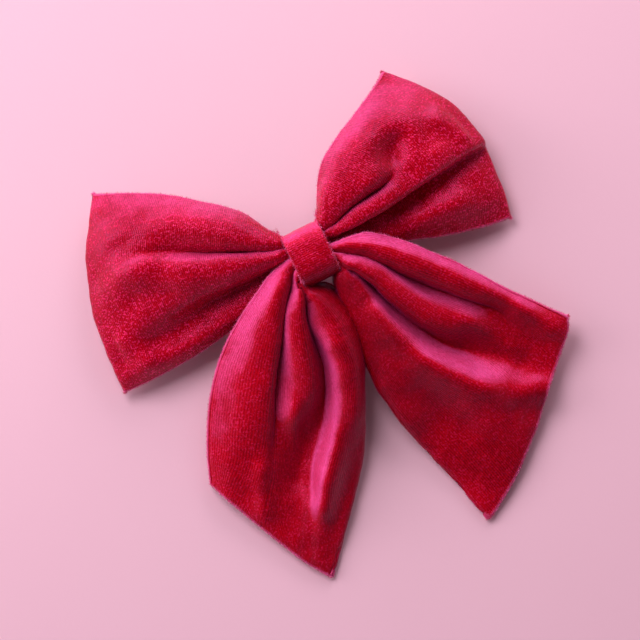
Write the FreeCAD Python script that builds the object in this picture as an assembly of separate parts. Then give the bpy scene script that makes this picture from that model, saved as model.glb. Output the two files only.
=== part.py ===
"""A velvet bow barrette: a gathered bow on a hinged spring clip of stamped steel.

Row frame, millimetres: +X along the clip towards its latch, +Y towards the top of the bow as it is worn,
+Z out of the bow's face. The origin is on the plane that the clip lies on, under the centre of the knot.
"""

import FreeCAD
import Part
import math
import os

Vector = FreeCAD.Vector

# ---- steel clip ----
clip_length = 86.0  # base plate, end to end
plate_width = 8.0
plate_thick = 0.8
plate_end_z = 8.8  # mid thickness of the plate's flat ends
plate_rise = 5.6  # how far the middle of the plate stands above its ends
end_flat = 13.0  # flat length at each end of the plate
bend_radius = 14.0  # reverse bend between a flat end and the arch
sewing_hole_radius = 0.9
sewing_hole_inset = 2.8

pin_radius = 0.8
pin_head_radius = 1.2
pin_head_thick = 0.4
pin_inset = 7.0  # hinge pin's distance from the plate's end
ear_radius = 2.0  # rounded foot of each ear, which stands on the resting plane
ear_thick = 0.8
ear_top_length = 8.0  # length of an ear where it leaves the plate
running_gap = 0.05  # radial clearance of a turning pair
side_gap = 0.1  # clearance beside a turning piece

arm_thick = 0.8
arm_rise = 2.1  # middle of the arm above its hinge end
arm_latch_rise = 0.95  # arm at the latch above its hinge end
arm_root_z = 1.3
knuckle_radius = 1.7
arm_tip_width = 7.0
arm_tip_overhang = 3.4  # rolled tip's axis beyond the middle of the window
tip_roll_radius = 1.2
window_length = 5.4
window_width = 4.4

bar_thick = 0.5
bar_width = 4.6
bar_pivot_inset = 9.4  # tension bar's pivot from the plate's end
bar_pivot_z = 6.8
bar_mid_z = 10.3
bar_tip_z = 6.1
bar_tip_inset = 12.0  # tension bar's free end from the plate's end
trunnion_radius = 0.5

latch_inset = 6.5  # middle of the latch from the plate's end
latch_thick = 0.5
bridge_width = 4.8
rivet_radius = 0.7
rivet_head_radius = 1.3
rivet_head_thick = 0.45
rivet_offset = 3.3  # rivet from the middle of the latch, towards the hinge
wing_half_gap = 1.6  # mid thickness of a wing from the clip's middle
wing_width = 3.0
wing_bead_radius = 0.35
wing_foot_z = 0.6
barb_reach = 0.9  # barb's overhang beyond the wing's outer face
barb_gap = 0.2  # clearance between a barb and the arm above it
tab_length = 6.0
tab_bottom_z = 3.5
tab_height = 3.4
tab_flare_deg = 18.0

# ---- velvet bow ----
seat_gap = 1.0  # mean clearance between the plate and the loops over it
bow_span = 155.5  # left loop's corner to right loop's corner, along X
bow_drop = 115.0  # knot's centre to the longest tail's tip
loop_lift = 54.5  # knot's centre to the top corner of the left loop
waist_half_width = 7.9  # gathers in the knot, along Y
loop_waist_thick = 7.0
tail_waist_thick = 4.0
tail_waist_top_y = 3.2  # the tails' gathers stop short of the top of the knot
knot_width = 14.4  # band, along the clip
band_thick = 1.5
thread_thick = 0.5
thread_turns = 4
layer_gap = 0.2  # between gathered cloth, thread and band
loop_waist_corner = 2.8  # rounding of a gathered waist's section
tail_waist_corner = 1.8
stitch_radius = 0.16
stitch_count = 5
stitch_pitch = 2.2
stitch_reach = 1.5  # half length of a stitch, along Y

# ---- places that follow from the sizes ----
half_length = clip_length / 2
pin_x = -half_length + pin_inset
pin_z = ear_radius
latch_x = half_length - latch_inset
rivet_x = latch_x - rivet_offset
bar_pivot_x = -half_length + bar_pivot_inset
bar_tip_x = half_length - bar_tip_inset
flat_x = half_length - end_flat  # inner end of the plate's flat
bend_centres = (flat_x**2 + plate_rise**2) / (2 * plate_rise)  # from a bend's centre to the arch's
arch_radius = bend_centres - bend_radius
plate_top_z = plate_end_z + plate_rise + plate_thick / 2
plate_under_end = plate_end_z - plate_thick / 2
ear_inner = plate_width / 2 - ear_thick
arm_width = 2 * (ear_inner - side_gap)
bridge_under = plate_under_end - latch_thick
bead_z = bridge_under - running_gap - wing_bead_radius
wrap = thread_thick + layer_gap
loop_waist_z = plate_top_z + wrap + layer_gap
loop_waist_top = loop_waist_z + loop_waist_thick
tail_waist_z = loop_waist_top + 2 * wrap + layer_gap
tail_waist_top = tail_waist_z + tail_waist_thick
plate_sag = (knot_width / 2) ** 2 / (2 * arch_radius)  # plate's fall at the knot's edge
band_inner_low = plate_top_z - plate_thick - plate_sag - layer_gap
band_inner_top = tail_waist_top + wrap + layer_gap
band_inner_half = waist_half_width + wrap + layer_gap
band_inner_corner = tail_waist_corner + wrap


def box(x0, x1, y0, y1, z0, z1):
    return Part.makeBox(x1 - x0, y1 - y0, z1 - z0, Vector(x0, y0, z0))


def rod(radius, length, start, axis):
    return Part.makeCylinder(radius, length, start, axis)


def cross_rod(radius, half, x, z):
    """A round bar along Y, centred on the clip's middle plane."""
    return rod(radius, 2 * half, Vector(x, -half, z), Vector(0, 1, 0))


def strip(edges, width, thick):
    """A flat strip whose mid surface follows a smooth path in the XZ plane."""
    path = Part.Wire(edges)
    first = edges[0]
    start = first.valueAt(first.FirstParameter)
    along = first.tangentAt(first.FirstParameter)
    up = Vector(-along.z, 0, along.x)
    corners = [
        start + up * (a * thick / 2) + Vector(0, b * width / 2, 0)
        for a, b in ((-1, -1), (-1, 1), (1, 1), (1, -1))
    ]
    section = Part.makePolygon(corners + corners[:1])
    return path.makePipeShell([section], True, False)


def arc(a, b, c):
    return Part.Arc(Vector(*a), Vector(*b), Vector(*c)).toShape()


def line(a, b):
    return Part.LineSegment(Vector(*a), Vector(*b)).toShape()


# ---- the clip's pieces ----
def plate_path():
    """Flat end, reverse bend, arch, reverse bend and flat end."""
    share = arch_radius / bend_centres
    end_z, top_z = plate_end_z, plate_end_z + plate_rise
    join_x = flat_x * share
    join_z = top_z - arch_radius + (bend_centres - plate_rise) * share
    half_turn = math.asin(join_x / arch_radius) / 2
    bend_x = flat_x - bend_radius * math.sin(half_turn)
    bend_z = end_z + bend_radius * (1 - math.cos(half_turn))
    return [
        line((-half_length, 0, end_z), (-flat_x, 0, end_z)),
        arc((-flat_x, 0, end_z), (-bend_x, 0, bend_z), (-join_x, 0, join_z)),
        arc((-join_x, 0, join_z), (0, 0, top_z), (join_x, 0, join_z)),
        arc((join_x, 0, join_z), (bend_x, 0, bend_z), (flat_x, 0, end_z)),
        line((flat_x, 0, end_z), (half_length, 0, end_z)),
    ]


def rounded_plan(half_long, half_wide, z0, z1):
    """A vertical prism with half-round ends."""
    body = box(-half_long + half_wide, half_long - half_wide, -half_wide, half_wide, z0, z1)
    for side in (-1, 1):
        centre = Vector(side * (half_long - half_wide), 0, z0)
        body = body.fuse(rod(half_wide, z1 - z0, centre, Vector(0, 0, 1)))
    return body


def base_plate():
    plate = strip(plate_path(), plate_width, plate_thick)
    plate = plate.common(rounded_plan(half_length, plate_width / 2, 0, plate_top_z + 1))
    for side in (-1, 1):
        plate = plate.fuse(hinge_ear(side))
        hole_x = side * (half_length - sewing_hole_inset)
        plate = plate.cut(rod(sewing_hole_radius, 4, Vector(hole_x, 0, plate_end_z - 2), Vector(0, 0, 1)))
    plate = plate.cut(cross_rod(pin_radius, plate_width, pin_x, pin_z))
    plate = plate.cut(cross_rod(trunnion_radius + running_gap, plate_width, bar_pivot_x, bar_pivot_z))
    plate = plate.cut(rod(rivet_radius, 4, Vector(rivet_x, 0, plate_end_z - 2), Vector(0, 0, 1)))
    return plate.removeSplitter()


def hinge_ear(side):
    """A tab folded down from the plate: it tapers to a round foot about the pin."""
    y0 = ear_inner if side > 0 else -plate_width / 2
    left = pin_x - ear_radius
    top_z = plate_end_z
    points = [
        (left, top_z),
        (left, pin_z),
        (pin_x + ear_radius, pin_z),
        (left + ear_top_length, bar_pivot_z - 1.5 * trunnion_radius),
        (left + ear_top_length, top_z),
    ]
    corners = [Vector(x, y0, z) for x, z in points]
    face = Part.Face(Part.makePolygon(corners + corners[:1]))
    tab = face.extrude(Vector(0, ear_thick, 0))
    return tab.fuse(rod(ear_radius, ear_thick, Vector(pin_x, y0, pin_z), Vector(0, 1, 0)))


def hinge_pin():
    half = plate_width / 2
    pin = cross_rod(pin_radius, half, pin_x, pin_z)
    for side in (-1, 1):
        head = rod(pin_head_radius, pin_head_thick, Vector(pin_x, side * half, pin_z), Vector(0, side, 0))
        pin = pin.fuse(head)
    return pin.removeSplitter()


def clasp_arm():
    """The lower bar: a knuckle on the pin, a shallow arch, and a window with a rolled tip for the latch."""
    root_x = pin_x + (pin_radius + running_gap + knuckle_radius) / 2
    tip_x = latch_x + arm_tip_overhang
    mid_x = (root_x + latch_x) / 2
    curve = Part.Arc(
        Vector(root_x, 0, arm_root_z),
        Vector(mid_x, 0, arm_root_z + arm_rise),
        Vector(latch_x, 0, arm_root_z + arm_latch_rise),
    ).toShape()
    arm = strip([curve], arm_width, arm_thick)
    latch_z = arm_root_z + arm_latch_rise
    start_x = latch_x - window_length / 2 - 1.5
    end_curve = [line((start_x, 0, latch_z), (tip_x, 0, latch_z))]
    head = strip(end_curve, arm_tip_width, arm_thick)
    arm = arm.fuse(head).fuse(cross_rod(tip_roll_radius, arm_tip_width / 2, tip_x, tip_roll_radius))
    arm = arm.cut(
        box(
            latch_x - window_length / 2,
            latch_x + window_length / 2,
            -window_width / 2,
            window_width / 2,
            0,
            latch_z + 2,
        )
    )
    arm = arm.fuse(cross_rod(knuckle_radius, arm_width / 2, pin_x, pin_z))
    return arm.cut(cross_rod(pin_radius + running_gap, plate_width, pin_x, pin_z)).removeSplitter()


def tension_bar():
    """The sprung middle bar: it turns on two trunnions in the ears, and its tip is free."""
    curve = arc((bar_pivot_x, 0, bar_pivot_z), (0, 0, bar_mid_z), (bar_tip_x, 0, bar_tip_z))
    bar = strip([curve], bar_width, bar_thick)
    bar = bar.fuse(cross_rod(trunnion_radius, plate_width / 2, bar_pivot_x, bar_pivot_z))
    toe = cross_rod(bar_thick / 2, bar_width / 2, bar_tip_x, bar_tip_z)
    return bar.fuse(toe).removeSplitter()


def latch_bridge():
    """The flat top of the latch spring, held under the plate by the rivet."""
    x0 = rivet_x - rivet_head_radius - 0.1
    x1 = latch_x + wing_width / 2 + 0.3
    web = box(x0, x1, -bridge_width / 2, bridge_width / 2, bridge_under, plate_under_end)
    return web.cut(rod(rivet_radius, 4, Vector(rivet_x, 0, bridge_under - 1), Vector(0, 0, 1)))


def latch_rivet():
    low, high = bridge_under, plate_end_z + plate_thick / 2
    shank = rod(rivet_radius, high - low, Vector(rivet_x, 0, low), Vector(0, 0, 1))
    top = rod(rivet_head_radius, rivet_head_thick, Vector(rivet_x, 0, high), Vector(0, 0, 1))
    foot = rod(rivet_head_radius, rivet_head_thick, Vector(rivet_x, 0, low), Vector(0, 0, -1))
    return shank.fuse(top).fuse(foot).removeSplitter()


def latch_wing(side):
    """A spring leg through the arm's window, with a barb under the arm's rail and a finger tab beyond its tip."""
    inner = wing_half_gap - latch_thick / 2
    outer = wing_half_gap + latch_thick / 2
    x0, x1 = latch_x - wing_width / 2, latch_x + wing_width / 2
    leg = box(x0, x1, inner, outer, wing_foot_z, bead_z)
    bead = rod(wing_bead_radius, wing_width, Vector(x0, wing_half_gap, bead_z), Vector(1, 0, 0))
    arm_under = arm_root_z + arm_latch_rise - arm_thick / 2
    barb_top = arm_under - barb_gap
    corners = [
        Vector(x0, inner, wing_foot_z),
        Vector(x0, outer, wing_foot_z),
        Vector(x0, outer + barb_reach, barb_top - 0.25),
        Vector(x0, outer + barb_reach, barb_top),
        Vector(x0, inner, barb_top),
    ]
    barb = Part.Face(Part.makePolygon(corners + corners[:1])).extrude(Vector(wing_width, 0, 0))
    tab = box(x1 - latch_thick, x1 + tab_length, inner, outer, tab_bottom_z, tab_bottom_z + tab_height)
    tab.rotate(Vector(x1 - latch_thick, outer, 0), Vector(0, 0, 1), tab_flare_deg)
    wing = leg.fuse(bead).fuse(barb).fuse(tab).removeSplitter()
    return wing if side > 0 else wing.mirror(Vector(0, 0, 0), Vector(0, 1, 0))


# ---- the bow's outlines, drawn about the knot at the sizes in DRAWN ----
# Each is a list of sides; a side is a smooth curve through its points, and sides meet at sewn corners.
DRAWN = {"span": 155.5, "drop": 115.0, "lift": 54.5, "half_knot": 7.2, "waist": 7.9}
LEFT_LOOP = [
    [(-7.2, 7.9), (-9.5, 13.5), (-15.7, 23), (-30.7, 36.5), (-61.2, 54.5)],
    [(-61.2, 54.5), (-70.2, 40), (-76.7, 25), (-81, 4), (-82.2, -15)],
    [(-82.2, -15), (-60.7, -15), (-43, -12.5), (-22, -8.4), (-7.2, -7.9)],
]
RIGHT_LOOP = [
    [(7.2, 7.9), (10.3, 13.5), (19.8, 29.5), (38, 40.5), (51.8, 48.3)],
    [(51.8, 48.3), (59.3, 39.5), (69.5, 23), (73.3, 7.5), (71, -19.5)],
    [(71, -19.5), (54.3, -17), (38, -12.5), (20, -8.4), (7.2, -7.9)],
]
LEFT_TAIL = [
    [(-7.2, 1.5), (-17.7, -1), (-36, -11.5), (-57, -34), (-69.7, -58)],
    [(-69.7, -58), (-61, -79), (-44.7, -108.5)],
    [(-44.7, -108.5), (-20.7, -79), (-4.7, -52), (1.5, -30), (-2.5, -16), (-7.2, -7.9)],
]
RIGHT_TAIL = [
    [(7.2, 0.5), (19.3, -0.5), (34.3, -15), (54.3, -38), (73.3, -61)],
    [(73.3, -61), (48, -89.5), (16.3, -115.0)],
    [(16.3, -115.0), (7.3, -87), (2.6, -58), (2.3, -30), (4, -16), (7.2, -7.9)],
]


def stretch(value, held, held_drawn, reach, reach_drawn):
    """A drawn distance at the driving sizes: what the knot holds follows the knot, the rest follows the reach."""
    size = abs(value)
    if size <= held_drawn:
        return value * held / held_drawn
    beyond = (size - held_drawn) * (reach - held) / (reach_drawn - held_drawn)
    return math.copysign(held + beyond, value)


def along_clip(x):
    return stretch(x, knot_width / 2, DRAWN["half_knot"], bow_span / 2, DRAWN["span"] / 2)


def across_clip(y):
    reach, drawn = (loop_lift, DRAWN["lift"]) if y > 0 else (bow_drop, DRAWN["drop"])
    return stretch(y, waist_half_width, DRAWN["waist"], reach, drawn)


def outline_prism(sides, top_z):
    """A vertical prism on one outline, closed by a straight side at the knot."""
    edges = []
    for points in sides:
        curve = Part.BSplineCurve()
        curve.interpolate([Vector(along_clip(x), across_clip(y), 0) for x, y in points])
        edges.append(curve.toShape())
    start, end = edges[-1].Vertexes[-1].Point, edges[0].Vertexes[0].Point
    edges.append(Part.LineSegment(start, end).toShape())
    return Part.Face(Part.Wire(edges)).extrude(Vector(0, 0, top_z))


def slab(top, bottom, heading_deg):
    """The space between two height profiles, each (distance from the knot, height), along one heading."""
    wide = bow_span + bow_drop
    growth = max(bow_span / DRAWN["span"], bow_drop / DRAWN["drop"])
    half_knot = knot_width / 2

    def curve(points):
        made = Part.BSplineCurve()
        spread = [half_knot + (r - half_knot) * growth for r, _ in points]
        made.interpolate([Vector(r, -wide, z) for r, (_, z) in zip(spread, points)])
        return made.toShape()

    upper, lower = curve(top), curve(bottom)
    near = Part.LineSegment(lower.Vertexes[0].Point, upper.Vertexes[0].Point).toShape()
    far = Part.LineSegment(upper.Vertexes[-1].Point, lower.Vertexes[-1].Point).toShape()
    body = Part.Face(Part.Wire([near, upper, far, lower])).extrude(Vector(0, 2 * wide, 0))
    body.rotate(Vector(0, 0, 0), Vector(0, 0, 1), heading_deg)
    return body


def rounded_section(half_wide, low, high, corner, x0, x1):
    """A bar along X whose section is a rectangle with round corners."""
    bar = box(x0, x1, -half_wide, half_wide, low, high)
    edges = [e for e in bar.Edges if abs(e.tangentAt(e.FirstParameter).x) > 0.9]
    return bar.makeFillet(corner, edges)


# ---- the bow's pieces ----
def gathered_waist(low, high, top_y, corner):
    """The part of a gathered strip that the knot holds."""
    half = (waist_half_width + top_y) / 2
    x = knot_width / 2
    waist = rounded_section(half, low, high, corner, -x, x)
    waist.translate(Vector(0, top_y - half, 0))
    return waist


def loop_top(peak, edge_z):
    waist = loop_waist_top
    return [(0, waist), (7.2, waist), (13, waist + 1.5), (25, peak), (42, peak - 3), (62, peak - 9), (90, edge_z)]


def bow_loops():
    """One folded strip: both loops, gathered together under the knot."""
    arch_x = flat_x * 2 / 3
    arch_z = plate_top_z - arch_x**2 / (2 * arch_radius)
    end_z = plate_end_z + plate_thick / 2
    low = [(0, loop_waist_z), (7.2, loop_waist_z)]
    low += [(arch_x, arch_z + seat_gap), (flat_x, end_z + 1.3 * seat_gap), (half_length, end_z + 0.8 * seat_gap)]
    low += [(half_length + 19, 5.5), (90, 2.0)]
    lobes = [
        outline_prism(LEFT_LOOP, 60).common(slab(loop_top(26.5, 6.5), low, 172)),
        outline_prism(RIGHT_LOOP, 60).common(slab(loop_top(26.0, 6.5), low, 6)),
    ]
    loops = gathered_waist(loop_waist_z, loop_waist_top, waist_half_width, loop_waist_corner)
    for lobe, room in zip(lobes, tail_lobes(-2 * wrap, 40)):
        loops = loops.fuse(lobe.cut(room))
    return loops.removeSplitter()


def tail_lobes(under_offset, over_offset):
    """Both tails outside the knot, between their draped undersides and tops moved by the two offsets."""
    low_z, high_z = tail_waist_z, tail_waist_top
    low = [(0, low_z), (7.2, low_z), (14, low_z - 2.4), (24, 17.0), (36, 9.5), (50, 3.8), (66, 1.0), (90, 0.4), (128, 0.3)]
    top = [(0, high_z), (7.2, high_z), (20, high_z), (36, 23.0), (56, 17), (76, 12), (100, 7.5), (128, 4.0)]
    x, y = knot_width / 2, band_inner_half + band_thick + layer_gap
    knot_room = box(-x, x, -y, y, 0, 2 * band_inner_top)
    lobes = []
    for outline, heading in ((LEFT_TAIL, 236), (RIGHT_TAIL, 298)):
        under = [(r, z + under_offset) for r, z in low]
        over = [(r, z + over_offset) for r, z in top]
        lobes.append(outline_prism(outline, 80).common(slab(over, under, heading)).cut(knot_room))
    return lobes


def bow_tails():
    """One folded strip: both tails, gathered at the front of the knot and draped down to the resting plane."""
    tails = gathered_waist(tail_waist_z, tail_waist_top, tail_waist_top_y, tail_waist_corner)
    for lobe in tail_lobes(0, 0):
        tails = tails.fuse(lobe)
    return tails.removeSplitter()


def knot_band():
    """The ribbed band round the gathers and the clip's plate."""
    x = knot_width / 2
    half = band_inner_half + band_thick
    outer = rounded_section(half, band_inner_low - band_thick, band_inner_top + band_thick, band_inner_corner + band_thick, -x, x)
    inner = rounded_section(band_inner_half, band_inner_low, band_inner_top, band_inner_corner, -x - 1, x + 1)
    return outer.cut(inner)


def wound_thread(low, high, bottom_y, top_y, waist_corner):
    """Turns of thread side by side round a gathered waist, joined into one coil."""
    radius = thread_thick / 2
    corner = waist_corner + layer_gap + radius
    middle_y = (bottom_y + top_y) / 2
    half = (top_y - bottom_y) / 2 + layer_gap + radius
    path_low, path_high = low - layer_gap - radius, high + layer_gap + radius
    across, up = half - corner, (path_high - path_low) / 2 - corner
    middle_z = (path_low + path_high) / 2
    coil = None
    for turn in range(thread_turns):
        x = (turn - (thread_turns - 1) / 2) * thread_thick * 0.9
        loop = thread_loop(x, middle_y, middle_z, across, up, corner)
        coil = loop if coil is None else coil.fuse(loop)
    return coil.removeSplitter()


def thread_loop(x, middle_y, middle_z, across, up, corner):
    """One closed turn: four straight runs and four quarter bends."""
    radius = thread_thick / 2
    turn = None
    for step in range(4):
        half_run, half_other = (across, up) if step % 2 == 0 else (up, across)
        run = rod(radius, 2 * half_run, Vector(x, -half_run, half_other + corner), Vector(0, 1, 0))
        bend = Part.makeTorus(corner, radius, Vector(0, 0, 0), Vector(1, 0, 0), 0, 360)
        quarter = bend.common(box(-1, 1, 0, corner + 1, 0, corner + 1))
        quarter.translate(Vector(x, half_run, half_other))
        for piece in (run, quarter):
            piece.rotate(Vector(x, 0, 0), Vector(1, 0, 0), 90 * step)
            turn = piece if turn is None else turn.fuse(piece)
    turn.translate(Vector(0, middle_y, middle_z))
    return turn


def knot_stitches():
    """The thread that closes the band's two ends on its underside, in slanted stitches."""
    z = band_inner_low - band_thick - stitch_radius
    length = (stitch_count - 1) * stitch_pitch
    points = []
    for i in range(stitch_count):
        x = -length / 2 + i * stitch_pitch
        points += [Vector(x, -stitch_reach, z), Vector(x + stitch_pitch * 0.35, stitch_reach, z)]
    thread = Part.makeSphere(stitch_radius, points[0])
    for a, b in zip(points, points[1:]):
        thread = thread.fuse(rod(stitch_radius, (b - a).Length, a, b - a))
        thread = thread.fuse(Part.makeSphere(stitch_radius, b))
    return thread


PIECES = {
    "base_plate": base_plate,
    "hinge_pin": hinge_pin,
    "clasp_arm": clasp_arm,
    "tension_bar": tension_bar,
    "latch_bridge": latch_bridge,
    "latch_rivet": latch_rivet,
    "latch_wing_front": lambda: latch_wing(-1),
    "latch_wing_back": lambda: latch_wing(1),
    "bow_loops": bow_loops,
    "loop_thread": lambda: wound_thread(
        loop_waist_z, loop_waist_top, -waist_half_width, waist_half_width, loop_waist_corner
    ),
    "bow_tails": bow_tails,
    "tail_thread": lambda: wound_thread(
        tail_waist_z, tail_waist_top, -waist_half_width, tail_waist_top_y, tail_waist_corner
    ),
    "knot_band": knot_band,
    "knot_stitches": knot_stitches,
}

os.makedirs("parts", exist_ok=True)
for name, make in PIECES.items():
    shape = make()
    shape.exportStep(os.path.join("parts", name + ".step"))
    b = shape.BoundBox
    print(name, len(shape.Solids), shape.isValid(), round(shape.Volume, 2),
          [round(v, 2) for v in (b.XMin, b.XMax, b.YMin, b.YMax, b.ZMin, b.ZMax)])
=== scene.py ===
import math

import bmesh
import bpy
import numpy as np
from bpy.props import FloatProperty, FloatVectorProperty, IntProperty, PointerProperty
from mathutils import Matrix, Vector, noise


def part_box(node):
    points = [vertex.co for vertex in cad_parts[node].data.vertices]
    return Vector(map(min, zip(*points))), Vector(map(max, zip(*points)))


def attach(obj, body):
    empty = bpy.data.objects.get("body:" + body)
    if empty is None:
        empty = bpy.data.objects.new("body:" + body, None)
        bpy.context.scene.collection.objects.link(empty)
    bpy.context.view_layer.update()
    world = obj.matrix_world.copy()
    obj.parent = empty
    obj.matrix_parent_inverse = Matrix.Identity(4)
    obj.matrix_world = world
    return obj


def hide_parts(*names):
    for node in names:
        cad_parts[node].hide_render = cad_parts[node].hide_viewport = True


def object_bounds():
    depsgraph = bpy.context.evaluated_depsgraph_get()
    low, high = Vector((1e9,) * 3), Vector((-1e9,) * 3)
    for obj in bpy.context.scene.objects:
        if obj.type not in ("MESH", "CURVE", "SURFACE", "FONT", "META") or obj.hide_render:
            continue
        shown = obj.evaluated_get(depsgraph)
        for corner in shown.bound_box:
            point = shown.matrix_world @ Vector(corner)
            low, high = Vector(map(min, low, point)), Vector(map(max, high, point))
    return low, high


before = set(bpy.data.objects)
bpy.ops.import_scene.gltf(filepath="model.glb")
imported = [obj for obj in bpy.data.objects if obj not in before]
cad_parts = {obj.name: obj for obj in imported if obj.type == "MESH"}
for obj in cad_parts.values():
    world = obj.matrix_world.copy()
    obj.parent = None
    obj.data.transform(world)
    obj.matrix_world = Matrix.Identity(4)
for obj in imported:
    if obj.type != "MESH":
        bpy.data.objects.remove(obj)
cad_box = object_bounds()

bl_info = {
    "name": "Velvet Bow Barrette",
    "version": (1, 0, 0),
    "blender": (4, 5, 0),
    "location": "View3D > Sidebar > Barrette",
    "description": "Builds a gathered velvet bow on its packed hair clip",
    "category": "Object",
}

MM = 0.001
BOW_BODY = "bow_and_plate"
SQUARE = ((-1, -1), (1, -1), (1, 1), (-1, 1))
KNOT_LOW, KNOT_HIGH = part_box("knot_band")

# How the cloth is built, in millimetres.
SEAM_INSET = 1.4  # from a tail's rim to its seam
SEAM_WIDTH = 0.3
FLOOR_GAP = 0.15  # that the cloth is kept off the floor
LOOP_AIR = 0.5  # least air inside a loop, and between it and the clip
LOOP_GATHER = (16.5, 21.5)  # heights of the lowest and highest strand inside the knot
TAIL_GATHER = (23.0, 27.0)
BAND_DENTS, BAND_PLEATS = 0.3, 0.25
ROWS_PER_SPAN = 8
RELAX_ROUNDS = 3
SWELL_END = 0.93  # how far along a loop's front, towards its fold, swells reach

# The sides that the lights come from, seen from above: slopes that face this way get painted highlights in
# the colour, and how a slope faces them also paints its shade.
LOOP_LIGHT_SIDE, BAND_LIGHT_SIDE = (0, 1), (0, -1)
LEFT_TAIL_LIGHT_SIDE, RIGHT_TAIL_LIGHT_SIDE = (-0.75, 0.66), (0.62, 0.78)

# The sizes of the velvet's features, in metres.
PILE_GRAIN, GLINT_GRAIN, CRUSHED_GRAIN, PATCH_GRAIN = 0.00048, 0.00034, 0.0042, 0.014
# The rims' lighter colour is a painted sheen.
RIM_SHEEN_WIDTH = 0.0012  # of the lighter colour along the rims

# How the velvet looks on the loops, on the tails and on the band.
VELVETS = {
    "velvet_across": dict(ribs_run_along=False, sparkle=1.0, rim_sheen_share=0.6, slope_highlight_from=0.46, slope_shade_share=-0.08),
    "velvet_along": dict(ribs_run_along=True, sparkle=0.45, rim_sheen_share=0.7, slope_highlight_from=0.33, slope_shade_share=0.3),
    "velvet_band": dict(ribs_run_along=False, sparkle=0.7, rim_sheen_share=0.0, slope_highlight_from=0.5, slope_shade_share=0.2),
}
# The lighter colour below is a painted highlight on slopes that face the lights' side.
SLOPE_HIGHLIGHT_FADE = 0.42  # how much further a slope turns until the lighter colour is full

# The stage, in metres and degrees.
KEY_DIRECTION = Vector((-0.19, 0.98, 1.15)).normalized()
BOW_MIDDLE = Vector((-0.00735, -0.02245, 0.01))
BOARD_HALF = 1.6
BOARD_GAP = 0.00005  # between the part's lowest point and the board
CAMERA_TURN = -26
SWEEP_TOP_SHARE = 0.3  # of the side lights' power
DIM_SIDE = 0.25  # how bright the walls stay on the side away from the key light

# ---- how the cloth lies, in millimetres in the row frame ----
# A strand is one line of the cloth from the knot to its free end. Strands lie side by side, edge to edge:
# crests stand high, creases lie low, and a crest that leans over its crease hides it from above.
LEFT_LOOP = [
    [(-7.6, 11, 20), (-10.5, 15, 20.5), (-15, 23.2, 20), (-20, 28.3, 19), (-30, 36.3, 16.5),
     (-40, 43.8, 14), (-50, 49, 11), (-61, 54.3, 6.5)],
    [(-7.6, 9.5, 23), (-12, 14, 25), (-18, 21, 25.5), (-26, 28, 24), (-36, 35, 21), (-48, 41.5, 17),
     (-57, 45.5, 13.5), (-64.6, 47.7, 8)],
    [(-7.6, 8, 24), (-13, 11, 26.5), (-20, 16, 27.5), (-28, 22.5, 26.5), (-38, 29.5, 24), (-50, 34.5, 20.5),
     (-60, 37.5, 17), (-70.3, 39, 9)],
    [(-7.6, 6.6, 23.5), (-13, 8.9, 25), (-20, 12.3, 26), (-28, 17, 25), (-36, 21.5, 23), (-45, 26.5, 21),
     (-56, 31, 18.5), (-66, 32.2, 15), (-74.4, 31, 9)],
    [(-7.6, 5.4, 21), (-13, 7.7, 20), (-20, 10.3, 18.5), (-28, 14, 18), (-36, 18.2, 18.5), (-43, 22, 19.3),
     (-52, 26, 18.4), (-64, 27.4, 16), (-76.8, 24.5, 9)],
    [(-7.6, 4.6, 24), (-13, 6.5, 24.4), (-20, 9.2, 25.4), (-28, 12.1, 25.4), (-36, 14.8, 24.9),
     (-44, 17.8, 23.9), (-52, 20.8, 21.9), (-60, 22.5, 20.5), (-69, 21, 16), (-78.9, 17.5, 9)],
    [(-7.6, 3.4, 23.5), (-13, 4.8, 26), (-20, 6, 26.5), (-28, 7.4, 26), (-37, 9, 25), (-46, 10.8, 23.5),
     (-56, 12.5, 21), (-67, 12, 16.5), (-80.4, 10, 9)],
    [(-7.6, 2.2, 22), (-13, 2.7, 22.8), (-20, 2.9, 23), (-28, 3.2, 22.5), (-37, 3.7, 21), (-46, 4.2, 19.5),
     (-56, 4.3, 17.5), (-68, 3.5, 14.5), (-81.2, 2.5, 8.5)],
    [(-7.6, 0.8, 19), (-13, 1, 17.5), (-20, 1.2, 15.8), (-28, 1.2, 14.3), (-37, 1, 13), (-46, 0, 12.5),
     (-57, -2, 12), (-69, -3.6, 11), (-81.7, -4.6, 7)],
    [(-7.6, -2, 19.5), (-14, -3, 18), (-22, -5, 16.2), (-32, -7, 14.5), (-42, -8.5, 13.5), (-54, -9.5, 13),
     (-67, -10, 11.5), (-82, -10.4, 6)],
    [(-7.6, -5, 17), (-15, -7.5, 15), (-25, -9.7, 12.5), (-35, -11.2, 10.5), (-45, -12.9, 9),
     (-58, -14.4, 7.5), (-70, -15.1, 6), (-82.1, -14.9, 3.6)],
]
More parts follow.
